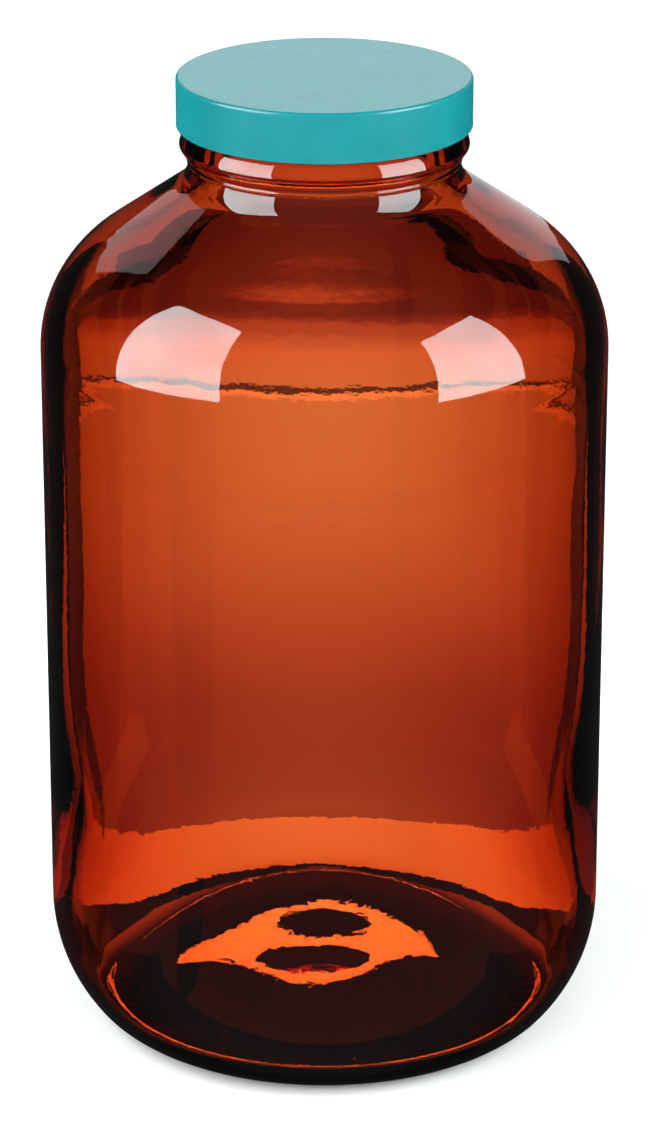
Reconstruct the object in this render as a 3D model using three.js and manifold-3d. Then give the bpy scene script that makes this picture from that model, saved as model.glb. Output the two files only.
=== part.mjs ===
// Wide-mouth amber glass packer bottle with a smooth screw cap and a two-layer liner.
// Millimetres, +Z up. The origin is the centre of the bearing ring that the bottle stands on.

import * as THREE from 'three';
import { mergeVertices } from 'three/addons/utils/BufferGeometryUtils.js';
import Module from 'manifold-3d';

// Roundness of every turned surface.
const SEGMENTS = 60;

// Bottle, outside.
const BODY_RADIUS = 70.35;
const PUSH_UP_HEIGHT = 4.5;
const BEARING_RING_INNER = 46;
const PUSH_UP_STEPS = 5;
const HEEL_ARCS = [
  { radius: 11.8, fromTilt: 90, toTilt: 61, steps: 2 },
  { radius: 16.9, fromTilt: 61, toTilt: 37.5, steps: 3 },
  { radius: 41.2, fromTilt: 37.5, toTilt: 0, steps: 5 },
];
const SHOULDER_START = 178.3;
const SHOULDER_RADIUS = 34.35;
const SHOULDER_SLOPE = 34.5;
const SHOULDER_STEPS = 7;
const NECK_RADIUS = 33.3;
const NECK_ROOT_FILLET = { radius: 8, overrun: 8, steps: 4 };

// Neck finish: the parting ridge of the neck ring, the transfer bead, the threaded wall and the lip.
const PARTING_RIDGE = { bottom: 225.3, top: 226.3, height: 0.35 };
const BEAD = {
  bottom: 229.0, top: 230.6, radius: 35.5, lowerEase: 0.4, upperEase: 0.1, shoulderZ: 233.7, shoulderRadius: 34.6,
};
const FINISH_START = 234.6;
const FINISH_RADIUS = 33.2;
const LIP_HEIGHT = 243.4;
const LIP_ROUND = 0.9;
const EDGE_STEPS = 3;

// Bottle, inside.
const WALL = 3.4;
const BORE_RADIUS = 29.6;
const INNER_HEEL_TILT = 33;
const INNER_CORNER_RADIUS = 7.5;
const INNER_HEEL_STEPS = 4;
const FLOOR_CROWN = 2;
const FLOOR_SHARES = [0.66, 0.33, 0];
const INNER_SHOULDER_STEPS = 6;
const INNER_NECK_EASE = [{ out: 0, up: 3 }, { out: 1.2, up: 0.6 }, { out: 4, up: 0 }];

// Screw thread: six turns to the inch, right-handed, a little over one turn.
const PITCH = 25.4 / 6;
const THREAD_BURY = 0.5;
const THREAD_FADE = 18;
const THREAD_END_SCALE = 0.3;
const THREAD_STEP = 6;
const GLASS_THREAD = {
  wallRadius: FINISH_RADIUS, crestRadius: 34.4, rootWidth: 2.4, crestWidth: 0.9,
  startAngle: 0, endAngle: 414, startHeight: 236.4,
};
const THREAD_OFFSET = 1.5;

// Cap.
const CAP_HEIGHT = 12.4;
const CAP_TOP = 246.8;
const CAP_RADIUS = 36.2;
const CAP_EDGE_RADIUS = 0.8;
const CAP_ROOT_RADIUS = 34.85;
const CAP_ROOF = 2.05;
const CAP_RIM_CHAMFER = 0.35;
const CAP_MOUTH_CHAMFER = 0.5;
const CAP_THREAD_START = 45;
const CAP_THREAD = {
  wallRadius: CAP_ROOT_RADIUS, crestRadius: 33.75, rootWidth: 1.7, crestWidth: 0.6,
  startAngle: CAP_THREAD_START, endAngle: CAP_THREAD_START + 360,
  startHeight: GLASS_THREAD.startHeight - THREAD_OFFSET + PITCH * CAP_THREAD_START / 360,
};

// Liner discs, stacked under the cap's roof with hairline gaps.
const LINER_RADIUS = 34.3;
const LINER_GAP = 0.05;
const FACING_THICKNESS = 0.25;
const CAP_UNDERSIDE = CAP_TOP - CAP_ROOF;
const FACING_BOTTOM = LIP_HEIGHT + LINER_GAP;
const BACKING_BOTTOM = FACING_BOTTOM + FACING_THICKNESS + LINER_GAP;
const BACKING_THICKNESS = CAP_UNDERSIDE - LINER_GAP - BACKING_BOTTOM;

const wasm = await Module();
wasm.setup();

const radians = (degrees) => degrees * Math.PI / 180;
const point = (r, z) => new THREE.Vector2(r, z);

// Points of an arc in the profile plane, from one angle to another in degrees, ends included.
function arc(centre, radius, from, to, steps) {
  return Array.from({ length: steps + 1 }, (_, i) => {
    const angle = radians(from + (to - from) * i / steps);
    return point(centre.x + radius * Math.cos(angle), centre.y + radius * Math.sin(angle));
  });
}

// Centre of an arc that passes through a point at the given angle.
function arcCentre(through, radius, angle) {
  return point(through.x - radius * Math.cos(radians(angle)), through.y - radius * Math.sin(radians(angle)));
}

// Drops points that repeat the one before.
function withoutRepeats(points) {
  return points.filter((p, i) => i === 0 || p.distanceTo(points[i - 1]) > 1e-6);
}

// Turns a profile, drawn with +Y up, about the Z axis.
function turned(profile) {
  const geometry = new THREE.LatheGeometry(withoutRepeats(profile), SEGMENTS);
  return geometry.rotateX(Math.PI / 2);
}

// Underside of the bottle: a shallow dome, then the flat bearing ring.
function baseProfile() {
  const edge = BEARING_RING_INNER;
  const radius = (edge * edge + PUSH_UP_HEIGHT * PUSH_UP_HEIGHT) / (2 * PUSH_UP_HEIGHT);
  const centre = point(0, PUSH_UP_HEIGHT - radius);
  const edgeAngle = 90 - THREE.MathUtils.radToDeg(Math.asin(edge / radius));
  return arc(centre, radius, 90, edgeAngle, PUSH_UP_STEPS);
}

// Heel: three arcs that blend the bearing ring into the straight body. The ring's outer edge follows from them.
function heelProfile() {
  const spread = HEEL_ARCS.reduce((sum, { radius, fromTilt, toTilt }) =>
    sum + radius * (Math.cos(radians(toTilt)) - Math.cos(radians(fromTilt))), 0);
  let start = point(BODY_RADIUS - spread, 0);
  return HEEL_ARCS.flatMap(({ radius, fromTilt, toTilt, steps }) => {
    const points = arc(arcCentre(start, radius, -fromTilt), radius, -fromTilt, -toTilt, steps);
    start = points[points.length - 1];
    return points;
  });
}

const HEEL = heelProfile();
const HEEL_TOP = HEEL[HEEL.length - 1];
const SHOULDER_CENTRE = point(BODY_RADIUS - SHOULDER_RADIUS, SHOULDER_START);

// Height of the straight cone of the shoulder at a radius, offset inwards by a wall thickness.
function coneHeight(r, inset) {
  const end = radians(90 - SHOULDER_SLOPE);
  const tangentR = SHOULDER_CENTRE.x + (SHOULDER_RADIUS - inset) * Math.cos(end);
  const tangentZ = SHOULDER_CENTRE.y + (SHOULDER_RADIUS - inset) * Math.sin(end);
  return tangentZ + (tangentR - r) * Math.tan(radians(SHOULDER_SLOPE));
}

// Shoulder and neck root: a convex arc, a straight cone and a concave fillet that stops a few degrees
// short of upright, where it meets the neck.
function shoulderProfile() {
  const turn = 90 - SHOULDER_SLOPE;
  const { radius, overrun, steps } = NECK_ROOT_FILLET;
  const filletStart = NECK_RADIUS + radius * (1 - Math.cos(radians(turn)));
  const centre = point(NECK_RADIUS + radius, coneHeight(filletStart, 0) + radius * Math.sin(radians(turn)));
  return [
    ...arc(SHOULDER_CENTRE, SHOULDER_RADIUS, 0, turn, SHOULDER_STEPS),
    ...arc(centre, radius, 180 + turn, 180 + overrun, steps),
  ];
}

// Neck finish from the parting ridge to the lip, then over the lip into the bore.
function finishProfile() {
  const ridge = NECK_RADIUS + PARTING_RIDGE.height;
  const middle = (PARTING_RIDGE.bottom + PARTING_RIDGE.top) / 2;
  const lipOuter = point(FINISH_RADIUS - LIP_ROUND, LIP_HEIGHT - LIP_ROUND);
  const lipInner = point(BORE_RADIUS + LIP_ROUND, LIP_HEIGHT - LIP_ROUND);
  return [
    point(NECK_RADIUS, PARTING_RIDGE.bottom),
    point(ridge, middle - PARTING_RIDGE.height / 2),
    point(ridge, middle + PARTING_RIDGE.height / 2),
    point(NECK_RADIUS, PARTING_RIDGE.top),
    point(BEAD.radius - BEAD.lowerEase, BEAD.bottom),
    point(BEAD.radius, (BEAD.bottom + BEAD.top) / 2),
    point(BEAD.radius - BEAD.upperEase, BEAD.top),
    point(BEAD.shoulderRadius, BEAD.shoulderZ),
    point(FINISH_RADIUS, FINISH_START),
    ...arc(lipOuter, LIP_ROUND, 0, 90, EDGE_STEPS),
    ...arc(lipInner, LIP_ROUND, 90, 180, EDGE_STEPS),
  ];
}

// Inside of the bottle from the bore down to the middle of the glass floor.
function cavityProfile() {
  const innerShoulder = SHOULDER_RADIUS - WALL;
  const heelArc = HEEL_ARCS[2];
  const heelRadius = heelArc.radius - WALL;
  const heelCentre = point(BODY_RADIUS - heelArc.radius, HEEL_TOP.y);
  const heel = arc(heelCentre, heelRadius, 0, -INNER_HEEL_TILT, INNER_HEEL_STEPS);
  const cornerCentre = arcCentre(heel[heel.length - 1], INNER_CORNER_RADIUS, -INNER_HEEL_TILT);
  const corner = arc(cornerCentre, INNER_CORNER_RADIUS, -INNER_HEEL_TILT, -90, INNER_HEEL_STEPS);
  const floor = corner[corner.length - 1];
  const crown = FLOOR_SHARES.map((share) =>
    point(floor.x * share, floor.y + FLOOR_CROWN * (1 - share * share)));
  const neckRoot = INNER_NECK_EASE.map(({ out, up }) =>
    point(BORE_RADIUS + out, coneHeight(BORE_RADIUS + out, WALL) + up));
  return [
    ...neckRoot,
    ...arc(SHOULDER_CENTRE, innerShoulder, 90 - SHOULDER_SLOPE, 0, INNER_SHOULDER_STEPS),
    ...heel,
    ...corner,
    ...crown,
  ];
}

// The two wide faces and the two flanks of a thread, at one angle along it.
function threadSection(thread, angle) {
  const fromEnd = Math.min(angle - thread.startAngle, thread.endAngle - angle);
  const fade = THREE.MathUtils.lerp(THREAD_END_SCALE, 1, Math.min(fromEnd / THREAD_FADE, 1));
  const outwards = Math.sign(thread.crestRadius - thread.wallRadius);
  const root = { radius: thread.wallRadius - outwards * THREAD_BURY, width: thread.rootWidth };
  const crestRadius = thread.wallRadius + (thread.crestRadius - thread.wallRadius) * fade;
  const crest = { radius: crestRadius, width: thread.crestWidth };
  const [inner, outer] = outwards > 0 ? [root, crest] : [crest, root];
  const height = thread.startHeight + PITCH * (angle - thread.startAngle) / 360;
  return [[inner, -1], [outer, -1], [outer, 1], [inner, 1]].map(([side, sign]) => [
    side.radius * Math.cos(radians(angle)),
    side.radius * Math.sin(radians(angle)),
    height + sign * side.width / 2,
  ]);
}

// A helical ridge of four-cornered section, closed at both ends.
function threadRidge(thread) {
  const steps = Math.round((thread.endAngle - thread.startAngle) / THREAD_STEP);
  const sections = Array.from({ length: steps + 1 }, (_, i) =>
    threadSection(thread, thread.startAngle + i * THREAD_STEP));
  const index = [0, 1, 2, 0, 2, 3];
  for (let step = 0; step < steps; step += 1) {
    for (let side = 0; side < 4; side += 1) {
      const a = step * 4 + side;
      const b = step * 4 + (side + 1) % 4;
      index.push(a, a + 4, b, b, a + 4, b + 4);
    }
  }
  const last = steps * 4;
  index.push(last, last + 2, last + 1, last, last + 3, last + 2);
  const geometry = new THREE.BufferGeometry();
  geometry.setAttribute('position', new THREE.Float32BufferAttribute(sections.flat(2), 3));
  geometry.setIndex(index);
  return geometry;
}

// A manifold solid from a closed geometry.
function solidFrom(geometry) {
  const bare = geometry.clone();
  bare.deleteAttribute('normal');
  bare.deleteAttribute('uv');
  const merged = mergeVertices(bare);
  const corners = Array.from(merged.index.array);
  const triVerts = [];
  for (let i = 0; i < corners.length; i += 3) {
    const [a, b, c] = corners.slice(i, i + 3);
    if (a !== b && b !== c && c !== a) triVerts.push(a, b, c);
  }
  return new wasm.Manifold(new wasm.Mesh({
    numProp: 3,
    vertProperties: new Float32Array(merged.attributes.position.array),
    triVerts: new Uint32Array(triVerts),
  }));
}

// A geometry from a manifold solid.
function geometryFrom(solid) {
  const mesh = solid.getMesh();
  const geometry = new THREE.BufferGeometry();
  geometry.setAttribute('position', new THREE.BufferAttribute(mesh.vertProperties, 3));
  geometry.setIndex(new THREE.BufferAttribute(mesh.triVerts, 1));
  geometry.computeVertexNormals();
  return geometry;
}

// The one-piece glass bottle with its thread.
function bottleGeometry() {
  const body = turned([
    ...baseProfile(),
    ...HEEL,
    ...shoulderProfile(),
    ...finishProfile(),
    ...cavityProfile(),
  ]);
  return geometryFrom(solidFrom(body).add(solidFrom(threadRidge(GLASS_THREAD))));
}

// The moulded cap: flat roof, straight skirt and internal thread.
function capGeometry() {
  const rim = CAP_TOP - CAP_HEIGHT;
  const edgeCentre = point(CAP_RADIUS - CAP_EDGE_RADIUS, CAP_TOP - CAP_EDGE_RADIUS);
  const shell = turned([
    point(0, CAP_UNDERSIDE),
    point(CAP_ROOT_RADIUS, CAP_UNDERSIDE),
    point(CAP_ROOT_RADIUS, rim + CAP_MOUTH_CHAMFER),
    point(CAP_ROOT_RADIUS + CAP_MOUTH_CHAMFER, rim),
    point(CAP_RADIUS - CAP_RIM_CHAMFER, rim),
    point(CAP_RADIUS, rim + CAP_RIM_CHAMFER),
    ...arc(edgeCentre, CAP_EDGE_RADIUS, 0, 90, EDGE_STEPS),
    point(0, CAP_TOP),
  ]);
  return geometryFrom(solidFrom(shell).add(solidFrom(threadRidge(CAP_THREAD))));
}

// A flat disc lying across the axis.
function discGeometry(radius, bottom, thickness) {
  const disc = new THREE.CylinderGeometry(radius, radius, thickness, SEGMENTS);
  return disc.rotateX(Math.PI / 2).translate(0, 0, bottom + thickness / 2);
}

const amberGlass = new THREE.MeshStandardMaterial({
  color: 0x8a3512, roughness: 0.04, metalness: 0, transparent: true, opacity: 0.8,
});
const tealPlastic = new THREE.MeshStandardMaterial({ color: 0x3fb4ba, roughness: 0.38, metalness: 0 });
const whiteFoam = new THREE.MeshStandardMaterial({ color: 0xeeeeea, roughness: 0.8, metalness: 0 });
const paleFilm = new THREE.MeshStandardMaterial({ color: 0xe4e6e4, roughness: 0.35, metalness: 0 });

function part(name, geometry, material) {
  const mesh = new THREE.Mesh(geometry, material);
  mesh.name = name;
  return mesh;
}

const packerBottle = new THREE.Group();
packerBottle.add(part('bottle', bottleGeometry(), amberGlass));
packerBottle.add(part('liner_facing', discGeometry(LINER_RADIUS, FACING_BOTTOM, FACING_THICKNESS), paleFilm));
packerBottle.add(part('liner_backing', discGeometry(LINER_RADIUS, BACKING_BOTTOM, BACKING_THICKNESS), whiteFoam));
packerBottle.add(part('cap_shell', capGeometry(), tealPlastic));

export default packerBottle;
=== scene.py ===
import math
import random

import bpy
import numpy as np
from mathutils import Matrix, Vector


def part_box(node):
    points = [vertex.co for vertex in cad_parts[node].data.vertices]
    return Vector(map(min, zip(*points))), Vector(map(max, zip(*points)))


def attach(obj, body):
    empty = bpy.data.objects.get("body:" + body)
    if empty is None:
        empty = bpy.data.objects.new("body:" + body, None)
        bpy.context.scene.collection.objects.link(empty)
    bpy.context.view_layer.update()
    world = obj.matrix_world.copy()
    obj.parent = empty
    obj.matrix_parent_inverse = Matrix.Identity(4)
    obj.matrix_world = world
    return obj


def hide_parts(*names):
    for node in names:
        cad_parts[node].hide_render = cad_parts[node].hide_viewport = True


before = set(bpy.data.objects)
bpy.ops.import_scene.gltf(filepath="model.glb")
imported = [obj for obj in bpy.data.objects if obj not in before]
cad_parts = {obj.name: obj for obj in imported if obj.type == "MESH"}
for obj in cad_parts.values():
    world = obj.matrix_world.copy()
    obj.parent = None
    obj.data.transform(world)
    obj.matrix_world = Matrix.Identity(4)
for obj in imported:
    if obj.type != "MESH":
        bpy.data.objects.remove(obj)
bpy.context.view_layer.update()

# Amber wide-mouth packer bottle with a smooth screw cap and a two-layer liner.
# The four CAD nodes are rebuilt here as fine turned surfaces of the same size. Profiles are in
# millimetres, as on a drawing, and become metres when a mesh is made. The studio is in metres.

MM = 0.001
SAME_POINT = 1e-4  # points closer than this are one point
ON_WALL = 0.01     # points closer than this to a wall's radius are on the wall

# Sizes that the CAD model settles, in millimetres.
BOTTLE_LOW, BOTTLE_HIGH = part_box("bottle")
CAP_LOW, CAP_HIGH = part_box("cap_shell")
FACING_LOW, FACING_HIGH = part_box("liner_facing")
BACKING_LOW, BACKING_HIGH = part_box("liner_backing")
BODY_RADIUS = BOTTLE_HIGH.x / MM
STANDING = BOTTLE_LOW.z / MM
LIP_HEIGHT = BOTTLE_HIGH.z / MM
CAP_RADIUS = CAP_HIGH.x / MM
CAP_TOP = CAP_HIGH.z / MM
CAP_RIM = CAP_LOW.z / MM
LINER_RADIUS = FACING_HIGH.x / MM

# Bottle, outside: (radius, tilt at the lower end, tilt at the upper end) of each heel arc.
HEEL_ARCS = ((11.8, 90.0, 61.0), (16.9, 61.0, 37.5), (41.2, 37.5, 0.0))
PUSH_UP_HEIGHT = 4.5
RING_INNER = 46.0
SHOULDER_START = 178.3
SHOULDER_RADIUS = 34.35
SHOULDER_SLOPE = 34.5
NECK_RADIUS = 33.3
NECK_ROOT_FILLET, NECK_ROOT_END = 8.0, 188
RIDGE_Z, RIDGE_HALF, RIDGE_FLAT, RIDGE_HEIGHT = 225.8, 0.5, 0.15, 0.35
BEAD_Z, BEAD_RADIUS, BEAD_NOSE, BEAD_TURN = 229.9, 35.5, 1.5, (-40, 20)
BEAD_SHELF_Z, BEAD_SHELF_INSET = 233.7, 0.9
FINISH_START, FINISH_CLEAR = 234.6, 0.3
FINISH_RADIUS = 33.2
LIP_ROUND = 0.9

# Ribs under the bearing ring: (lowest radius, highest radius, width of each fade).
RIB_COUNT, RIB_DEPTH = 80, 0.45
RIB_BAND = (44, 54, 2, 2.5)
RIB_REACH = (43, 56)  # radii of the points that may move
RIB_CEILING = 1.2     # and their greatest height

# Bottle, inside. Each point of the neck root is (distance past the bore, distance past it at which
# the cone's height is taken, rise above that height).
WALL = 3.4
BORE_RADIUS = 29.6
INNER_ROOT = ((0.0, 0.0, 3.0), (0.35, 0.0, 1.7), (1.3, 1.3, 0.55), (3.0, 3.0, 0.0))
INNER_HEEL_TILT = 33.0
INNER_CORNER_RADIUS = 7.5
FLOOR_CROWN, FLOOR_POINTS = 2.0, 14

# Glass that the blowing left on the inside: above the heel, below the neck and at the two sides.
LOWER_EXTRA, LOWER_MIDDLE, LOWER_SPREAD = 1.2, 55, 26
UPPER_EXTRA, UPPER_START, UPPER_SPREAD = 1.6, 212, 5
SIDE_EXTRA = 1.2

# Unevenness of the blown walls, and the heights between which it is there, with their fades.
OUTER_WAVE = dict(seed=3, amplitude=0.012, count=7, turns=(2, 9), heights=(40, 110))
INNER_WAVE = dict(seed=11, amplitude=0.06, count=9, turns=(1, 6), heights=(60, 150))
INNER_RIPPLE = dict(seed=29, amplitude=0.004, count=12, turns=(10, 40), heights=(8, 25))
WAVY_BAND = (6, 222, 20, 12)

# Screw thread.
PITCH = 25.4 / 6
THREAD_FADE = 18.0
GLASS_THREAD_LOW = 236.4
CAP_THREAD_BELOW, CAP_THREAD_START = 1.5, 45.0
GLASS_THREAD = dict(height=1.2, root=2.4, crest=0.9, start=0.0, end=414.0, low=GLASS_THREAD_LOW)
CAP_THREAD = dict(height=-1.1, root=1.7, crest=0.6, start=CAP_THREAD_START, end=CAP_THREAD_START + 360,
                  low=GLASS_THREAD_LOW - CAP_THREAD_BELOW + PITCH * CAP_THREAD_START / 360)

# Cap.
CAP_ROOT_RADIUS = 34.85
CAP_ROOF, CAP_ROOF_ROUND = 2.05, 0.5
CAP_EDGE = 0.8
CAP_RIM_ROUND = 0.35
CAP_CHAMFER_DEPTH, CAP_CHAMFER_HEIGHT = 0.4, 0.5
HAIR = 0.1  # gap between two runs of a profile, which one face then spans

# Points round each turned piece.
BOTTLE_SEGMENTS, CAP_SEGMENTS, LINER_SEGMENTS = 400, 288, 192


# ---------------------------------------------------------------- profiles

def arc(centre, radius, start, end, step):
    """Points of an arc from one angle to another, in degrees, about step millimetres apart."""
    count = max(3, int(abs(math.radians(end - start)) * radius / step) + 1)
    angles = np.radians(np.linspace(start, end, count + 1))
    return np.column_stack([centre[0] + radius * np.cos(angles), centre[1] + radius * np.sin(angles)])


def line(start, end, step):
    """Points of a straight line, about step millimetres apart."""
    start, end = np.array(start, float), np.array(end, float)
    count = max(1, int(np.linalg.norm(end - start) / step))
    return start + (end - start) * np.linspace(0, 1, count + 1)[:, None]


def joined(*runs):
    """One profile from runs of points, without repeated points."""
    points = np.concatenate(runs)
    keep = np.ones(len(points), bool)
    keep[1:] = np.linalg.norm(np.diff(points, axis=0), axis=1) > SAME_POINT
    return points[keep]


def arc_centre(through, radius, angle):
    """Centre of the arc that passes a point at the given angle."""
    a = math.radians(angle)
    return (through[0] - radius * math.cos(a), through[1] - radius * math.sin(a))


def cone_height(r, inset):
    """Height of the shoulder's cone at a radius, offset inwards by a wall thickness."""
    end = math.radians(90 - SHOULDER_SLOPE)
    tangent_r = BODY_RADIUS - SHOULDER_RADIUS + (SHOULDER_RADIUS - inset) * math.cos(end)
    tangent_z = SHOULDER_START + (SHOULDER_RADIUS - inset) * math.sin(end)
    return tangent_z + (tangent_r - r) * math.tan(math.radians(SHOULDER_SLOPE))


def heel_profile():
    """Outer heel, from the bearing ring up to the straight body."""
    spread = sum(r * (math.cos(math.radians(b)) - math.cos(math.radians(a))) for r, a, b in HEEL_ARCS)
    start = (BODY_RADIUS - spread, STANDING)
    runs = []
    for radius, lower, upper in HEEL_ARCS:
        runs.append(arc(arc_centre(start, radius, -lower), radius, -lower, -upper, step=2.0))
        start = tuple(runs[-1][-1])
    return joined(*runs)


def outer_profile():
    """Outside of the bottle from the middle of the push-up to the top of the bead."""
    dome = (RING_INNER ** 2 + PUSH_UP_HEIGHT ** 2) / (2 * PUSH_UP_HEIGHT)
    edge = 90 - math.degrees(math.asin(RING_INNER / dome))
    heel = heel_profile()
    turn = 90 - SHOULDER_SLOPE
    shoulder = arc((BODY_RADIUS - SHOULDER_RADIUS, SHOULDER_START), SHOULDER_RADIUS, 0, turn, step=2.0)
    root_radius = NECK_RADIUS + NECK_ROOT_FILLET * (1 - math.cos(math.radians(turn)))
    root = (root_radius, cone_height(root_radius, 0))
    root_centre = (NECK_RADIUS + NECK_ROOT_FILLET, root[1] + NECK_ROOT_FILLET * math.sin(math.radians(turn)))
    ridge = NECK_RADIUS + RIDGE_HEIGHT
    nose = (BEAD_RADIUS - BEAD_NOSE, BEAD_Z)
    return joined(
        arc((0, STANDING + PUSH_UP_HEIGHT - dome), dome, 90, edge, step=5.0),
        line((RING_INNER, STANDING), heel[0], step=0.8),
        heel,
        line(heel[-1], shoulder[0], step=5.0),
        shoulder,
        line(shoulder[-1], root, step=2.0),
        arc(root_centre, NECK_ROOT_FILLET, 180 + turn, NECK_ROOT_END, step=0.9),
        line((NECK_RADIUS, RIDGE_Z - RIDGE_HALF), (ridge, RIDGE_Z - RIDGE_FLAT), step=0.2),
        line((ridge, RIDGE_Z + RIDGE_FLAT), (NECK_RADIUS, RIDGE_Z + RIDGE_HALF), step=0.2),
        arc(nose, BEAD_NOSE, *BEAD_TURN, step=0.3),
        line((BEAD_RADIUS - BEAD_SHELF_INSET, BEAD_SHELF_Z), (FINISH_RADIUS, FINISH_START), step=0.4),
    )


def finish_profile():
    """Threaded wall of the neck, the lip and the top of the bore."""
    top = LIP_HEIGHT - LIP_ROUND
    return joined(
        line((FINISH_RADIUS, FINISH_START + FINISH_CLEAR), (FINISH_RADIUS, top), step=0.3),
        arc((FINISH_RADIUS - LIP_ROUND, top), LIP_ROUND, 0, 90, step=0.3),
        arc((BORE_RADIUS + LIP_ROUND, top), LIP_ROUND, 90, 180, step=0.3),
    )


def inner_profile():
    """Inside of the bottle, from the bore down to the middle of the glass floor."""
    last_radius = HEEL_ARCS[-1][0]
    heel_centre = (BODY_RADIUS - last_radius, heel_profile()[-1][1])
    heel = arc(heel_centre, last_radius - WALL, 0, -INNER_HEEL_TILT, step=2.0)
    corner_centre = arc_centre(heel[-1], INNER_CORNER_RADIUS, -INNER_HEEL_TILT)
    corner = arc(corner_centre, INNER_CORNER_RADIUS, -INNER_HEEL_TILT, -90, step=0.8)
    share = np.linspace(1, 0, FLOOR_POINTS)
    floor = np.column_stack([corner[-1][0] * share, corner[-1][1] + FLOOR_CROWN * (1 - share ** 2)])
    shoulder = arc((BODY_RADIUS - SHOULDER_RADIUS, SHOULDER_START), SHOULDER_RADIUS - WALL,
                   90 - SHOULDER_SLOPE, 0, step=2.0)
    root = np.array([(BORE_RADIUS + out, cone_height(BORE_RADIUS + along, WALL) + rise)
                     for out, along, rise in INNER_ROOT])
    return joined(
        line((BORE_RADIUS, LIP_HEIGHT - LIP_ROUND), root[0], step=4.0),
        root,
        line(root[-1], shoulder[0], step=2.5),
        shoulder,
        line(shoulder[-1], heel[0], step=5.0),
        heel,
        corner,
        floor,
    )


# ---------------------------------------------------------------- turned meshes

def waves(seed, amplitude, count, turns, heights):
    """A smooth wandering height over (angle, z): count sine waves with whole numbers of turns."""
    rng = random.Random(seed)
    terms = [(rng.randint(*turns), 2 * math.pi / rng.uniform(*heights) * rng.choice((-1, 1)),
              rng.uniform(0, 2 * math.pi)) for _ in range(count)]

    def height(angle, z):
        total = sum(np.cos(m * angle + k * z + phase) for m, k, phase in terms)
        return amplitude * total / math.sqrt(count)

    return height


def band(value, low, high, low_fade, high_fade):
    """1 well between low and high, 0 outside them, with a straight fade at each end."""
    return np.clip((value - low) / low_fade, 0, 1) * np.clip((high - value) / high_fade, 0, 1)


def thread_height(thread, angle, z):
    """Height of a thread above its wall at (angle, z): trapezoid flanks, faded ends."""
    degrees = np.degrees(angle)
    best = np.zeros(np.broadcast(angle, z).shape)
    for turn in (0, 360):
        along = degrees + turn
        from_end = np.minimum(along - thread["start"], thread["end"] - along)
        centre = thread["low"] + PITCH * (along - thread["start"]) / 360
        off = np.abs(z - centre)
        flank = (thread["root"] / 2 - off) / (thread["root"] / 2 - thread["crest"] / 2)
        rise = np.clip(flank, 0, 1) * np.clip(from_end / THREAD_FADE, 0, 1)
        best = np.maximum(best, rise * rise * (3 - 2 * rise))
    return best * thread["height"]


def turned(name, profile, segments, shape=None):
    """A closed solid of revolution that starts and ends on the axis. shape(angle, r, z) may move
    the points of every row but the first and the last, which are the poles."""
    rings = profile[1:-1]
    angle = np.linspace(0, 2 * math.pi, segments, endpoint=False)[None, :]
    r = np.repeat(rings[:, :1], segments, axis=1)
    z = np.repeat(rings[:, 1:], segments, axis=1)
    if shape:
        r, z = shape(angle, r, z)
    xyz = np.stack([r * np.cos(angle), r * np.sin(angle), z], axis=-1).reshape(-1, 3)
    poles = [(0, 0, profile[0][1]), (0, 0, profile[-1][1])]
    points = np.concatenate([xyz, poles]) * MM
    rows = len(rings)
    i = np.arange(rows - 1)[:, None] * segments
    j = np.arange(segments)[None, :]
    k = (j + 1) % segments
    quads = np.stack([i + j, i + k, i + segments + k, i + segments + j], axis=-1).reshape(-1, 4)
    first, last = rows * segments, rows * segments + 1
    top = (rows - 1) * segments
    fans = [(first, (s + 1) % segments, s) for s in range(segments)]
    fans += [(last, top + s, top + (s + 1) % segments) for s in range(segments)]
    mesh = bpy.data.meshes.new(name)
    mesh.from_pydata(points.tolist(), [], quads.tolist() + fans)
    mesh.validate()
    mesh.polygons.foreach_set("use_smooth", [True] * len(mesh.polygons))
    mesh.update()
    piece = bpy.data.objects.new(name, mesh)
    bpy.context.scene.collection.objects.link(piece)
    return piece


# ---------------------------------------------------------------- materials
# Noise scales are in cycles per metre and bump heights in metres.

GLASS_IOR, PLASTIC_IOR = 1.52, 1.5
GLASS_TINT, GLASS_DENSITY = (0.797, 0.390, 0.0), 590
GLASS_RIPPLES = ((60, (1, 1, 1.3), 0.000012), (330, (1, 1, 1.4), 0.000007))

CAP_DARK, CAP_LIGHT = (0.001, 0.142, 0.156), (0.004, 0.160, 0.174)
CAP_MOTTLE, CAP_SATIN, CAP_GRAIN = 120, 400, 2600
CAP_ROUGHNESS = (0.20, 0.28)
CAP_GRAIN_HEIGHT = 0.000010

FILM = dict(light=(0.84, 0.85, 0.84), dark=(0.78, 0.80, 0.79), roughness=0.3, scale=900, height=0.000004)
FOAM = dict(light=(0.86, 0.86, 0.84), dark=(0.74, 0.74, 0.72), roughness=0.7, scale=2200, height=0.00003)

PAPER_DARK, PAPER_LIGHT = (0.86, 0.86, 0.86), (0.88, 0.88, 0.88)
PAPER_CLOUD, PAPER_ROUGHNESS = 3, 0.9
CLOTH_DARK, CLOTH_LIGHT, CLOTH_CLOUD = (0.74, 0.80, 0.79), (0.93, 1, 0.99), 1.6


def node_material(name):
    """A material with a Principled shader: its node tree, its shader and object coordinates."""
    material = bpy.data.materials.new(name)
    material.use_nodes = True
    tree = material.node_tree
    shader = tree.nodes["Principled BSDF"]
    coords = tree.nodes.new("ShaderNodeTexCoord").outputs["Object"]
    return material, tree, shader, coords


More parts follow.
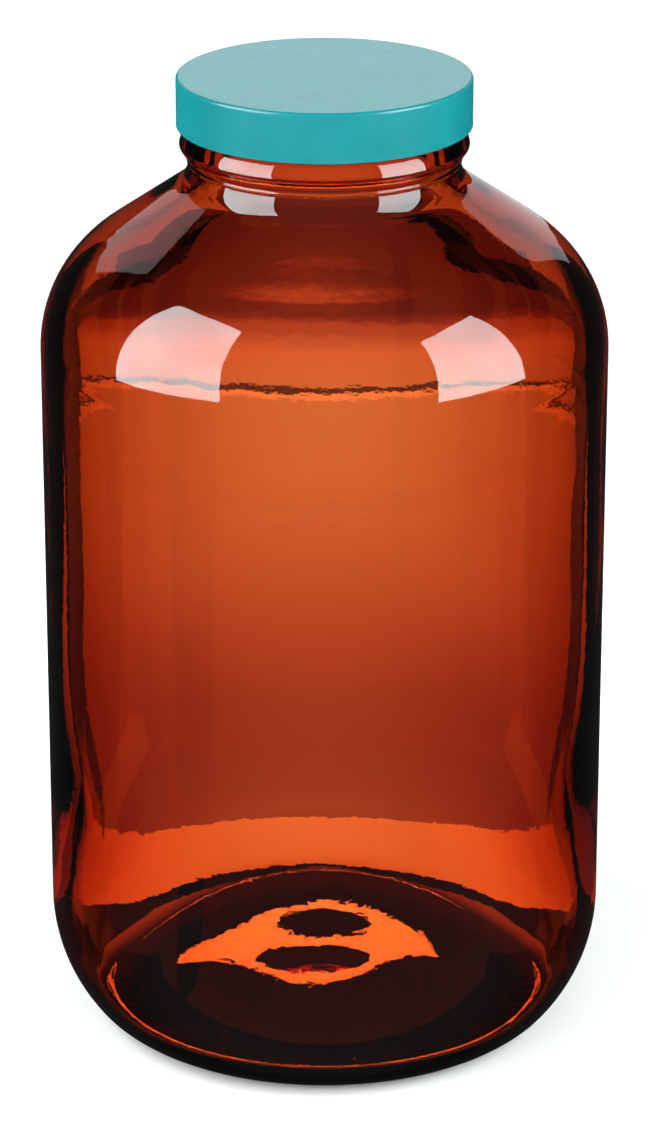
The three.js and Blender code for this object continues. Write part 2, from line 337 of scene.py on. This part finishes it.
def noise(tree, coords, scale, detail=2.0, roughness=0.5, stretch=(1, 1, 1)):
    """A noise texture, its scale in cycles per metre, stretched along the axes."""
    mapping = tree.nodes.new("ShaderNodeMapping")
    mapping.inputs["Scale"].default_value = stretch
    tree.links.new(coords, mapping.inputs["Vector"])
    texture = tree.nodes.new("ShaderNodeTexNoise")
    texture.inputs["Scale"].default_value = scale
    texture.inputs["Detail"].default_value = detail
    texture.inputs["Roughness"].default_value = roughness
    tree.links.new(mapping.outputs["Vector"], texture.inputs["Vector"])
    return texture.outputs["Fac"]


def bump(tree, pattern, height, below=None):
    """A bump of the given height, on top of another one if there is one below."""
    node = tree.nodes.new("ShaderNodeBump")
    node.inputs["Distance"].default_value = height
    node.inputs["Strength"].default_value = 1.0
    tree.links.new(pattern, node.inputs["Height"])
    if below:
        tree.links.new(below, node.inputs["Normal"])
    return node.outputs["Normal"]


def ramp(tree, value, stops):
    """A colour ramp from (position, colour) stops."""
    node = tree.nodes.new("ShaderNodeValToRGB")
    elements = node.color_ramp.elements
    ends = (stops[0], stops[-1])
    for element, (position, colour) in zip(elements, ends):
        element.position = position
        element.color = (*colour, 1)
    for position, colour in stops[1:-1]:
        elements.new(position).color = (*colour, 1)
    tree.links.new(value, node.inputs["Fac"])
    return node.outputs["Color"]


def mottled(tree, pattern, dark, light, margin=0.3):
    """A colour that wanders between dark and light with a noise pattern."""
    return ramp(tree, pattern, [(margin, dark), (1 - margin, light)])


def amber_glass():
    """Clear glass that absorbs blue and green, with the faint ripples of a blown surface."""
    material, tree, shader, coords = node_material("amber_glass")
    shader.inputs["Base Color"].default_value = (1, 1, 1, 1)
    shader.inputs["Roughness"].default_value = 0.0
    shader.inputs["IOR"].default_value = GLASS_IOR
    shader.inputs["Transmission Weight"].default_value = 1.0
    ripple = None
    for scale, stretch, height in GLASS_RIPPLES:
        ripple = bump(tree, noise(tree, coords, scale, stretch=stretch), height, ripple)
    tree.links.new(ripple, shader.inputs["Normal"])
    absorption = tree.nodes.new("ShaderNodeVolumeAbsorption")
    absorption.inputs["Color"].default_value = (*GLASS_TINT, 1)
    absorption.inputs["Density"].default_value = GLASS_DENSITY
    tree.links.new(absorption.outputs["Volume"], tree.nodes["Material Output"].inputs["Volume"])
    return material


def cap_plastic():
    """Moulded teal plastic: satin, with a fine grain and a faint mottle."""
    material, tree, shader, coords = node_material("teal_cap_plastic")
    colour = mottled(tree, noise(tree, coords, CAP_MOTTLE, detail=4.0, roughness=0.6), CAP_DARK, CAP_LIGHT)
    tree.links.new(colour, shader.inputs["Base Color"])
    rough = tree.nodes.new("ShaderNodeMapRange")
    rough.inputs["To Min"].default_value, rough.inputs["To Max"].default_value = CAP_ROUGHNESS
    tree.links.new(noise(tree, coords, CAP_SATIN, detail=3.0), rough.inputs["Value"])
    tree.links.new(rough.outputs["Result"], shader.inputs["Roughness"])
    grain = bump(tree, noise(tree, coords, CAP_GRAIN), CAP_GRAIN_HEIGHT)
    tree.links.new(grain, shader.inputs["Normal"])
    shader.inputs["IOR"].default_value = PLASTIC_IOR
    return material


def liner_material(name, light, dark, roughness, scale, height):
    """A pale plastic of the liner, with a fine cell or calender texture."""
    material, tree, shader, coords = node_material(name)
    cells = noise(tree, coords, scale, detail=3.0, roughness=0.6)
    tree.links.new(mottled(tree, cells, dark, light), shader.inputs["Base Color"])
    shader.inputs["Roughness"].default_value = roughness
    tree.links.new(bump(tree, cells, height), shader.inputs["Normal"])
    return material


def emission(tree, colour, strength):
    """An emission shader whose colour is a fixed colour or another node's output."""
    node = tree.nodes.new("ShaderNodeEmission")
    node.inputs["Strength"].default_value = strength
    if isinstance(colour, tuple):
        node.inputs["Color"].default_value = (*colour, 1)
    else:
        tree.links.new(colour, node.inputs["Color"])
    return node.outputs["Emission"]


def glow_by_length(tree, length, stops):
    """Emission that follows (length, colour) stops."""
    near, far = stops[0][0], stops[-1][0]
    share = tree.nodes.new("ShaderNodeMapRange")
    share.inputs["From Min"].default_value = near
    share.inputs["From Max"].default_value = far
    tree.links.new(length, share.inputs["Value"])
    scaled = [((at - near) / (far - near), tuple(c / GLOW_TOP for c in colour)) for at, colour in stops]
    return emission(tree, ramp(tree, share.outputs["Result"], scaled), GLOW_TOP)


def glowing(name, make_glow):
    """A material that only glows, as make_glow(tree, object coordinates) says."""
    material, tree, shader, coords = node_material(name)
    tree.nodes.remove(shader)
    tree.links.new(make_glow(tree, coords), tree.nodes["Material Output"].inputs["Surface"])
    return material


def card_material(name, colour, strength):
    """A plain glowing card."""
    return glowing(name, lambda tree, coords: emission(tree, colour, strength))


def lamp_material():
    """The face of a soft box: a little brighter and darker in places."""
    def cloth(tree, coords):
        pattern = noise(tree, coords, CLOTH_CLOUD, detail=1.0)
        return emission(tree, mottled(tree, pattern, CLOTH_DARK, CLOTH_LIGHT, 0.35), SOFT_BOX_GLOW)

    return glowing("soft_box", cloth)


def fading_material(name, axis, stops):
    """A glow that changes along an axis."""
    def fade(tree, coords):
        place = tree.nodes.new("ShaderNodeSeparateXYZ")
        tree.links.new(coords, place.inputs["Vector"])
        return glow_by_length(tree, place.outputs[axis], stops)

    return glowing(name, fade)


def floor_material():
    """Pale paper. What the glass lets through is painted light and shade on the same paper, drawn as a glow
    that depends on the distance from the bottle, so that the glass stays free of noise: a painted shadow
    under the bottle, a tinted painted shadow round it, and a painted bright ring and dark ring further out."""
    material, tree, shader, coords = node_material("pale_floor")
    paper = mottled(tree, noise(tree, coords, PAPER_CLOUD), PAPER_DARK, PAPER_LIGHT)
    tree.links.new(paper, shader.inputs["Base Color"])
    shader.inputs["Roughness"].default_value = PAPER_ROUGHNESS
    distance = tree.nodes.new("ShaderNodeVectorMath")
    distance.operation = "LENGTH"
    tree.links.new(coords, distance.inputs[0])
    # painted light and shade that the glass sees on the paper
    glow = glow_by_length(tree, distance.outputs["Value"], FLOOR_PAINTED_LIGHT_AND_SHADOW)
    mix = tree.nodes.new("ShaderNodeMixShader")
    path = tree.nodes.new("ShaderNodeLightPath").outputs
    tree.links.new(path["Is Transmission Ray"], mix.inputs["Fac"])
    tree.links.new(shader.outputs["BSDF"], mix.inputs[1])
    tree.links.new(glow, mix.inputs[2])
    tree.links.new(mix.outputs["Shader"], tree.nodes["Material Output"].inputs["Surface"])
    return material


# ---------------------------------------------------------------- the pieces

def extra_wall(angle, z):
    """Extra thickness of the glass, by angle and height."""
    lower = LOWER_EXTRA * np.exp(-((z - LOWER_MIDDLE) / LOWER_SPREAD) ** 2)
    upper = UPPER_EXTRA / (1 + np.exp(-(z - UPPER_START) / UPPER_SPREAD))
    sides = SIDE_EXTRA * np.cos(angle) ** 2
    return lower + upper + sides


def make_bottle():
    """The whole glass bottle, wavy inside and out, with its thread and the ribs of its ring."""
    outside, finish = outer_profile(), finish_profile()
    profile = joined(outside, finish, inner_profile())
    outer_wave, inner_wave, inner_ripple = waves(**OUTER_WAVE), waves(**INNER_WAVE), waves(**INNER_RIPPLE)
    lip_row = len(outside) + int(np.argmax(finish[:, 1])) - 1

    def shape(angle, r, z):
        outer = np.arange(len(r))[:, None] < lip_row
        inward = inner_wave(angle, z) + inner_ripple(angle, z) + extra_wall(angle, z)
        r = r - np.where(outer, np.abs(outer_wave(angle, z)), inward) * band(z, *WAVY_BAND)
        under = outer & (z < RIB_CEILING) & (r > RIB_REACH[0]) & (r < RIB_REACH[1])
        groove = 0.5 - 0.5 * np.cos(RIB_COUNT * angle)
        z = z + np.where(under, RIB_DEPTH * band(r, *RIB_BAND) * groove, 0)
        threaded = outer & (z > FINISH_START) & (np.abs(r - FINISH_RADIUS) < ON_WALL)
        r = r + np.where(threaded, thread_height(GLASS_THREAD, angle, z), 0)
        return r, z

    piece = turned("glass_bottle", profile, BOTTLE_SEGMENTS, shape)
    piece.data.materials.append(amber_glass())
    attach(piece, "bottle")
    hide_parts("bottle")


def make_cap():
    """The screw cap, from the middle of its roof's underside round to the middle of its top."""
    under = CAP_TOP - CAP_ROOF
    corner = (CAP_ROOT_RADIUS - CAP_ROOF_ROUND, under - CAP_ROOF_ROUND)
    mouth = (CAP_ROOT_RADIUS, CAP_RIM + CAP_CHAMFER_HEIGHT)
    foot = CAP_ROOT_RADIUS + CAP_CHAMFER_DEPTH
    rim = (CAP_RADIUS - CAP_RIM_ROUND, CAP_RIM + CAP_RIM_ROUND)
    edge = (CAP_RADIUS - CAP_EDGE, CAP_TOP - CAP_EDGE)
    profile = joined(
        line((0, under), (corner[0], under), step=6.0),
        arc(corner, CAP_ROOF_ROUND, 90, 0, step=0.3),
        line((CAP_ROOT_RADIUS, corner[1] - HAIR), mouth, step=0.25),
        line(mouth, (foot, CAP_RIM + HAIR / 2), step=0.2),
        line((foot + HAIR, CAP_RIM), (rim[0] - HAIR / 2, CAP_RIM), step=0.2),
        arc(rim, CAP_RIM_ROUND, -90, 0, step=0.12),
        line((CAP_RADIUS, rim[1] + HAIR / 2), (CAP_RADIUS, edge[1] - HAIR), step=2.0),
        arc(edge, CAP_EDGE, 0, 90, step=0.15),
        line((edge[0] - 2 * HAIR, CAP_TOP), (0, CAP_TOP), step=5.0),
    )

    def shape(angle, r, z):
        threaded = np.abs(r - CAP_ROOT_RADIUS) < ON_WALL
        return r + np.where(threaded, thread_height(CAP_THREAD, angle, z), 0), z

    piece = turned("screw_cap", profile, CAP_SEGMENTS, shape)
    piece.data.materials.append(cap_plastic())
    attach(piece, "cap")
    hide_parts("cap_shell")


def make_liner(name, node, slot, low, high, edge, look):
    """One disc of the liner, with rounded edges."""
    bottom, top, flat = low.z / MM, high.z / MM, LINER_RADIUS - edge
    profile = joined(
        line((0, bottom), (flat, bottom), step=4.0),
        arc((flat, bottom + edge), edge, -90, 0, step=0.05),
        arc((flat, top - edge), edge, 0, 90, step=0.05),
        line((flat, top), (0, top), step=4.0),
    )
    piece = turned(name, profile, LINER_SEGMENTS)
    piece.data.materials.append(liner_material(slot, **look))
    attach(piece, "liner")
    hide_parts(node)


# ---------------------------------------------------------------- studio
# Cards, flags and papers are each seen only by the kinds of ray that they are there for.

ALL_RAYS = ("camera", "diffuse", "glossy", "transmission", "shadow")
THROUGH_GLASS = ("transmission",)
AS_REFLECTION = ("glossy",)

# Radiance of the white surroundings, for each kind of ray. Pairs run from the front to the back.
BACKDROP_SEEN = 1.2
BACKDROP_LIGHT = (0.85, 0.35)
BACKDROP_THROUGH_GLASS = 1.6
BACKDROP_REFLECTED = (0.11, 0.02)
SKY_LIMIT, SKY_FADE = 0.12, 0.1
FRONT_TO_BACK = 0.3

# Soft boxes, as (azimuth, elevation) outlines seen from a point inside the shoulder.
SOFT_BOX_GLOW = 10.8
SOFT_BOX_AIM, SOFT_BOX_DISTANCE = (0.045, -0.045, 0.19), 1.3
LEFT_SOFT_BOX = ((-102, 52), (-50, 57), (-40, 2), (-90, -3))
RIGHT_SOFT_BOX = ((91, 49), (50, 47), (44, 1), (86, 0))

# Cards that only reflections see, as outlines from a point inside the shoulder, and the front fill.
CARD_AIM, CARD_DISTANCE = Vector((0, 0, 0.2)), 8
LEFT_CARD = ((-160, 9), (-159, 15), (-150, 31), (-142, 42), (-134, 40), (-137, 33), (-140.5, 19),
             (-152.5, 16.5), (-157.2, 11.2))
RIGHT_CARD = ((143.5, 30), (147, 31), (157, 17), (168, 3), (178, -12), (174.5, -13), (166, -1.5),
              (159.4, 4.5), (152, 6), (145, 24))
SHOULDER_CARD_COLOUR, SHOULDER_CARD_GLOW = (1, 0.97, 1), 0.75
BACK_CARD, BACK_CARD_DISTANCE, BACK_CARD_GLOW = ((168, 192), (5, 30)), 1.6, 1.27
FRONT_FILL, FRONT_FILL_DISTANCE, FRONT_FILL_GLOW = ((-100, 45), (-3, 20)), 2, 1.9

# Upright black flags on spokes round the bottle: (azimuth, distance of the near edge).
FLAGS = ((-135, 0.130), (135, 0.138), (-90, 0.1), (0, 0.1), (90, 0.1), (-45, 0.1), (-114, 0.14), (114, 0.14))
FLAG_END, FLAG_TOP = 0.62, 0.26
FLAG_COLOUR, FLAG_GLOW = (1, 0.6, 0.5), 0.01

# Painted light and shade on the paper by distance from the bottle's axis, in metres, as the glass shows it:
# a painted shadow under the bottle, a tinted painted shadow round it that fades out, and a painted bright
# ring and dark ring further out.
FLOOR_RADIUS, FLOOR_LEVEL, FLOOR_POINTS_ROUND = 0.85, -0.0002, 128
GLOW_TOP = 3.0
FLOOR_PAINTED_LIGHT_AND_SHADOW = (
    # painted shadow under the bottle
    (0.000, (0.010, 0.008, 0.008)),
    (0.050, (0.010, 0.008, 0.008)),
    # tinted painted shadow round the bottle, dimmest at its foot, fading out by 0.44 m
    (0.054, (0.120, 0.050, 0.040)),
    (0.060, (0.120, 0.050, 0.040)),
    (0.066, (0.95, 0.60, 0.85)),
    (0.160, (0.95, 0.60, 0.85)),
    (0.200, (1.04, 0.67, 0.89)),
    (0.240, (1.19, 0.82, 0.96)),
    (0.280, (1.35, 1.02, 1.10)),
    (0.320, (1.49, 1.25, 1.29)),
    (0.360, (1.59, 1.44, 1.45)),
    (0.400, (1.66, 1.60, 1.60)),
    (0.440, (1.68, 1.68, 1.68)),
    (0.479, (1.68, 1.68, 1.68)),
    # painted bright ring, then painted dark ring
    (0.482, (2.7, 2.7, 2.7)),
    (0.490, (2.7, 2.7, 2.7)),
    (0.491, (0.25, 0.22, 0.22)),
    (0.499, (0.25, 0.22, 0.22)),
    (0.500, (1.68, 1.65, 1.65)),
    (0.850, (1.60, 1.60, 1.60)),
)

# Black paper on the floor, half of it, and the two black papers far behind the bottle.
PAPER_COLOUR, PAPER_GLOW = (1, 0.5, 0.4), 0.01
DARK_PAPER_LEVEL = -0.0001
DARK_PAPER = ((0.0, 0.072), (0.14, 0.072), (0.14, -0.075), (0.0, -0.075), (0.0, -0.0575), (0.030, -0.049),
              (0.048, -0.033), (0.0585, -0.012), (0.0635, 0.010), (0.0635, 0.030), (0.050, 0.050),
              (0.0, 0.064))
FAR_PAPER_LEVEL = 0.0001
FAR_PAPER_LEFT = ((-0.13, 0.80), (-0.5, 0.80), (-0.5, 1.0), (-0.11, 1.0))
FAR_PAPER_RIGHT = ((0.055, 0.80), (0.5, 0.80), (0.5, 1.0), (0.11, 1.0))

# Painted pool of light, a bright strip on the paper just behind the bottle, and its glow from its left to
# its right.
HEEL_LIGHT_POOL_LEVEL = -0.00005
HEEL_LIGHT_POOL = ((-0.125, 0.085), (-0.09, 0.070), (-0.062, 0.060), (-0.03, 0.063), (0.0, 0.066), (0.03, 0.062),
              (0.062, 0.058), (0.105, 0.070), (0.105, 0.098), (0.06, 0.101), (0.0, 0.1045), (-0.06, 0.098),
              (-0.125, 0.097))
HEEL_POOL_PAINTED_LIGHT = (
    (-0.125, (3.0, 2.8, 2.6)),
    (-0.060, (2.9, 2.6, 2.4)),
    (-0.030, (2.4, 2.2, 2.0)),
    (0.030, (2.4, 2.2, 2.0)),
    (0.055, (3.0, 3.0, 2.6)),
    (0.105, (3.0, 3.0, 2.6)),
)

# Paper behind the bottle whose painted light fades into a dim, reddish painted shade, its glow by distance,
# and the wall behind it, which glows with the same dim painted shade.
DUSK_HALF_WIDTH, DUSK_NEAR, DUSK_FAR, DUSK_LEVEL = 0.5, 0.50, 1.00, 0
DUSK_PAINTED_LIGHT_AND_SHADE = (
    (0.500, (1.72, 1.68, 1.68)),
    (0.530, (1.80, 1.62, 1.65)),
    (0.560, (1.85, 1.50, 1.55)),
    (0.590, (1.40, 0.95, 1.05)),
    (0.600, (1.22, 0.75, 0.85)),
    (0.625, (1.15, 0.62, 0.72)),
    # painted light fading into a dim, reddish painted shade
    (0.640, (0.62, 0.24, 0.36)),
    (0.655, (0.46, 0.17, 0.28)),
    (0.665, (0.34, 0.13, 0.22)),
    (0.740, (0.33, 0.13, 0.22)),
    (1.000, (0.30, 0.12, 0.20)),
)
DUSK_WALL_HALF_WIDTH, DUSK_WALL_Y, DUSK_WALL_LOW, DUSK_WALL_HIGH = 0.6, 3.0, -0.65, -0.2
DUSK_WALL_PAINTED_SHADE, DUSK_WALL_GLOW = (0.9, 0.30, 0.35), 0.35

# Eye-shaped window of light behind the bottle and its two oval shades, in degrees as seen from the
# glass floor: (azimuth, elevation, half width) of each shade.
EYE_AIM = Vector((0, 0.015, 0.009))
EYE_DISTANCE, EYE_COLOUR, EYE_GLOW = 2.2, (1, 0.97, 0.92), 36
EYE_MIDDLE, EYE_HALF, EYE_LEVEL, EYE_STEPS = 181.05, 7.95, 23.5, 24
EYE_RISE, EYE_RISE_POWER, EYE_RISE_LEAN = 3.9, 2.2, 0.2
EYE_DROP, EYE_DROP_LEAN = 4.8, 0.35
SHADES = ((180.1, 20.8, 2.6), (180.7, 24.9, 3.3))
SHADE_DISTANCE, SHADE_HALF_HEIGHT, SHADE_POINTS = 2.1, 1.47, 32
SHADE_COLOUR, SHADE_GLOW = (1, 0.6, 0.5), 0.05

# Camera.
CAMERA_ELEVATION, CAMERA_DISTANCE, CAMERA_AIM = 20.963, 1.158, Vector((0, 0, 0.11994))
CAMERA_LENS, CAMERA_SENSOR = 146.72, 36
GLASS_BOUNCES = 24


def staged(name, points, material, kinds=ALL_RAYS):
    """A flat outline of the stage, seen only by the named kinds of ray."""
    mesh = bpy.data.meshes.new(name)
    mesh.from_pydata([tuple(point) for point in points], [], [tuple(range(len(points)))])
    mesh.materials.append(material)
    piece = bpy.data.objects.new(name, mesh)
    bpy.context.scene.collection.objects.link(piece)
    for kind in ALL_RAYS:
        setattr(piece, "visible_" + kind, kind in kinds)
    return piece


def paper(name, outline, level, material):
    """A paper that lies at a level and is seen only through the glass."""
    staged(name, [(x, y, level) for x, y in outline], material, THROUGH_GLASS)


def direction(azimuth, elevation):
    """Unit vector. Azimuth 0 is the camera's side, + to the camera's right."""
    a, e = math.radians(azimuth), math.radians(elevation)
    return Vector((math.sin(a) * math.cos(e), -math.cos(a) * math.cos(e), math.sin(e)))


def sky_card(name, outline, aim, distance, material, kinds):
    """A card whose outline is given as (azimuth, elevation) directions from a point."""
    staged(name, [aim + direction(*corner) * distance for corner in outline], material, kinds)


def rectangle(azimuths, elevations):
    """Outline between two azimuths and two elevations."""
    (a, b), (c, d) = azimuths, elevations
    return [(a, c), (b, c), (b, d), (a, d)]


def make_world():
    """White paper all round: bright where it is seen directly, through the glass or as diffuse
    light, up to a little above the horizon. Reflections see a dark room with a few cards."""
    world = bpy.data.worlds.new("studio")
    bpy.context.scene.world = world
    world.use_nodes = True
    tree = world.node_tree
    background = tree.nodes["Background"]
    background.inputs["Color"].default_value = (1, 1, 1, 1)
    path = tree.nodes.new("ShaderNodeLightPath").outputs
    place = tree.nodes.new("ShaderNodeSeparateXYZ")
    tree.links.new(tree.nodes.new("ShaderNodeTexCoord").outputs["Generated"], place.inputs["Vector"])

    def fade(axis, near, far, radiances):
        """Radiance that changes from one value to another along an axis of the direction."""
        node = tree.nodes.new("ShaderNodeMapRange")
        node.inputs["From Min"].default_value = near
        node.inputs["From Max"].default_value = far
        node.inputs["To Min"].default_value, node.inputs["To Max"].default_value = radiances
        tree.links.new(place.outputs[axis], node.inputs["Value"])
        return node.outputs["Result"]

    def choose(share, other):
        """A mix node that takes its B where share is 1, and other where it is 0."""
        mix = tree.nodes.new("ShaderNodeMix")
        tree.links.new(share, mix.inputs["Factor"])
        tree.links.new(other, mix.inputs["A"])
        return mix

    # Cycles counts light that passed the glass as glossy too; only reflections are meant here.
    reflected = tree.nodes.new("ShaderNodeMath")
    reflected.operation = "SUBTRACT"
    tree.links.new(path["Is Glossy Ray"], reflected.inputs[0])
    tree.links.new(path["Is Transmission Ray"], reflected.inputs[1])

    through = fade("Z", SKY_LIMIT, SKY_LIMIT + SKY_FADE, (BACKDROP_THROUGH_GLASS, BACKDROP_REFLECTED[1]))
    mirror = choose(reflected.outputs["Value"], through)
    tree.links.new(fade("Y", -FRONT_TO_BACK, FRONT_TO_BACK, BACKDROP_REFLECTED), mirror.inputs["B"])
    light = choose(path["Is Diffuse Ray"], mirror.outputs["Result"])
    tree.links.new(fade("Y", -1, 1, BACKDROP_LIGHT), light.inputs["B"])
    seen = choose(path["Is Camera Ray"], light.outputs["Result"])
    seen.inputs["B"].default_value = BACKDROP_SEEN
    tree.links.new(seen.outputs["Result"], background.inputs["Strength"])


def make_floor():
    """A round pale floor, just under the bottle."""
    turn = [2 * math.pi * i / FLOOR_POINTS_ROUND for i in range(FLOOR_POINTS_ROUND)]
    ring = [Vector((math.cos(t), math.sin(t), 0)) * FLOOR_RADIUS for t in turn]
    floor = staged("floor", ring, floor_material(), ("camera", "diffuse", "transmission", "shadow"))
    floor.location.z = FLOOR_LEVEL


def make_lamps():
    """Two soft boxes, the grey cards that the shoulder mirrors, the card that the cap's top mirrors
    and a weak fill from the front."""
    lamp = lamp_material()
    x, y, z = SOFT_BOX_AIM
    for name, outline, side in (("left_soft_box", LEFT_SOFT_BOX, -1), ("right_soft_box", RIGHT_SOFT_BOX, 1)):
        sky_card(name, outline, Vector((side * x, y, z)), SOFT_BOX_DISTANCE, lamp, ("diffuse", "glossy"))
    grey = card_material("white_card", SHOULDER_CARD_COLOUR, SHOULDER_CARD_GLOW)
    sky_card("left_card", LEFT_CARD, CARD_AIM, CARD_DISTANCE, grey, AS_REFLECTION)
    sky_card("right_card", RIGHT_CARD, CARD_AIM, CARD_DISTANCE, grey, AS_REFLECTION)
    bright = card_material("bright_card", (1, 1, 1), BACK_CARD_GLOW)
    sky_card("back_card", rectangle(*BACK_CARD), CARD_AIM, BACK_CARD_DISTANCE, bright, AS_REFLECTION)
    fill = card_material("front_fill", (1, 1, 1), FRONT_FILL_GLOW)
    sky_card("front_fill", rectangle(*FRONT_FILL), CARD_AIM, FRONT_FILL_DISTANCE, fill, ("diffuse",))


def make_flags():
    """Upright black flags. They darken the edges of the glass."""
    black = card_material("black_flag", FLAG_COLOUR, FLAG_GLOW)
    top = Vector((0, 0, FLAG_TOP))
    for azimuth, near in FLAGS:
        foot, end = direction(azimuth, 0) * near, direction(azimuth, 0) * FLAG_END
        staged("flag_%d" % (azimuth % 360), [foot, end, end + top, foot + top], black, THROUGH_GLASS)


def make_back_light():
    """The eye-shaped window of light behind the bottle, with its shades in front of it. The glass
    floor of the bottle mirrors it."""
    glow = card_material("back_light", EYE_COLOUR, EYE_GLOW)
    shade = card_material("back_shade", SHADE_COLOUR, SHADE_GLOW)
    steps = [i / EYE_STEPS for i in range(-EYE_STEPS, EYE_STEPS + 1)]
    upper = [(EYE_MIDDLE - EYE_HALF * u,
              EYE_LEVEL + EYE_RISE * (1 - u * u) ** EYE_RISE_POWER * (1 + EYE_RISE_LEAN * u)) for u in steps]
    lower = [(EYE_MIDDLE - EYE_HALF * u,
              EYE_LEVEL - EYE_DROP * (1 - u * u) * (1 + EYE_DROP_LEAN * u)) for u in reversed(steps[1:-1])]
    sky_card("back_light", upper + lower, EYE_AIM, EYE_DISTANCE, glow, THROUGH_GLASS)
    turn = [2 * math.pi * i / SHADE_POINTS for i in range(SHADE_POINTS)]
    for number, (azimuth, elevation, half_width) in enumerate(SHADES):
        oval = [(azimuth + half_width * math.cos(t), elevation + SHADE_HALF_HEIGHT * math.sin(t))
                for t in turn]
        sky_card("back_shade_%d" % number, oval, EYE_AIM, SHADE_DISTANCE, shade, THROUGH_GLASS)


def make_papers():
    """Dark papers on the floor beside and in front of the bottle, a painted pool of light just behind it,
    and the paper behind it whose painted light fades away into painted shade, as the glass shows them."""
    black = card_material("dark_paper", PAPER_COLOUR, PAPER_GLOW)
    for name, side in (("dark_paper_left", -1), ("dark_paper_right", 1)):
        paper(name, [(side * x, y) for x, y in DARK_PAPER], DARK_PAPER_LEVEL, black)
    # painted pool of light on the paper just behind the bottle, seen only through the glass
    paper("heel_light_pool", HEEL_LIGHT_POOL, HEEL_LIGHT_POOL_LEVEL, fading_material("heel_light_pool", "X", HEEL_POOL_PAINTED_LIGHT))
    paper("far_paper_left", FAR_PAPER_LEFT, FAR_PAPER_LEVEL, black)
    paper("far_paper_right", FAR_PAPER_RIGHT, FAR_PAPER_LEVEL, black)
    half = DUSK_HALF_WIDTH
    dusk = ((-half, DUSK_NEAR), (half, DUSK_NEAR), (half, DUSK_FAR), (-half, DUSK_FAR))
    # paper whose painted light fades into painted shade, seen only through the glass
    paper("dusk_painted_paper", dusk, DUSK_LEVEL, fading_material("dusk_painted_paper", "Y", DUSK_PAINTED_LIGHT_AND_SHADE))
    half = DUSK_WALL_HALF_WIDTH
    wall = ((-half, DUSK_WALL_LOW), (half, DUSK_WALL_LOW), (half, DUSK_WALL_HIGH), (-half, DUSK_WALL_HIGH))
    # wall glowing with the same dim, reddish painted shade, seen only through the glass
    staged("dusk_painted_wall", [(x, DUSK_WALL_Y, z) for x, z in wall],
           card_material("dusk_painted_wall", DUSK_WALL_PAINTED_SHADE, DUSK_WALL_GLOW), THROUGH_GLASS)


def make_camera():
    """The photograph's camera, level from side to side, in front of the bottle and above it."""
    elevation = math.radians(CAMERA_ELEVATION)
    data = bpy.data.cameras.new("camera")
    data.lens = CAMERA_LENS
    data.sensor_width = CAMERA_SENSOR
    camera = bpy.data.objects.new("camera", data)
    bpy.context.scene.collection.objects.link(camera)
    camera.location = CAMERA_AIM + direction(0, CAMERA_ELEVATION) * CAMERA_DISTANCE
    camera.rotation_euler = (math.pi / 2 - elevation, 0, 0)
    bpy.context.scene.camera = camera


make_bottle()
make_cap()
make_liner("sealing_film", "liner_facing", "liner_film", FACING_LOW, FACING_HIGH, 0.1, FILM)
make_liner("foam_disc", "liner_backing", "liner_foam", BACKING_LOW, BACKING_HIGH, 0.2, FOAM)
make_camera()
make_world()
make_floor()
make_lamps()
make_flags()
make_back_light()
make_papers()
bpy.context.scene.view_settings.view_transform = "Standard"
bpy.context.scene.cycles.max_bounces = GLASS_BOUNCES
bpy.context.scene.cycles.transmission_bounces = GLASS_BOUNCES
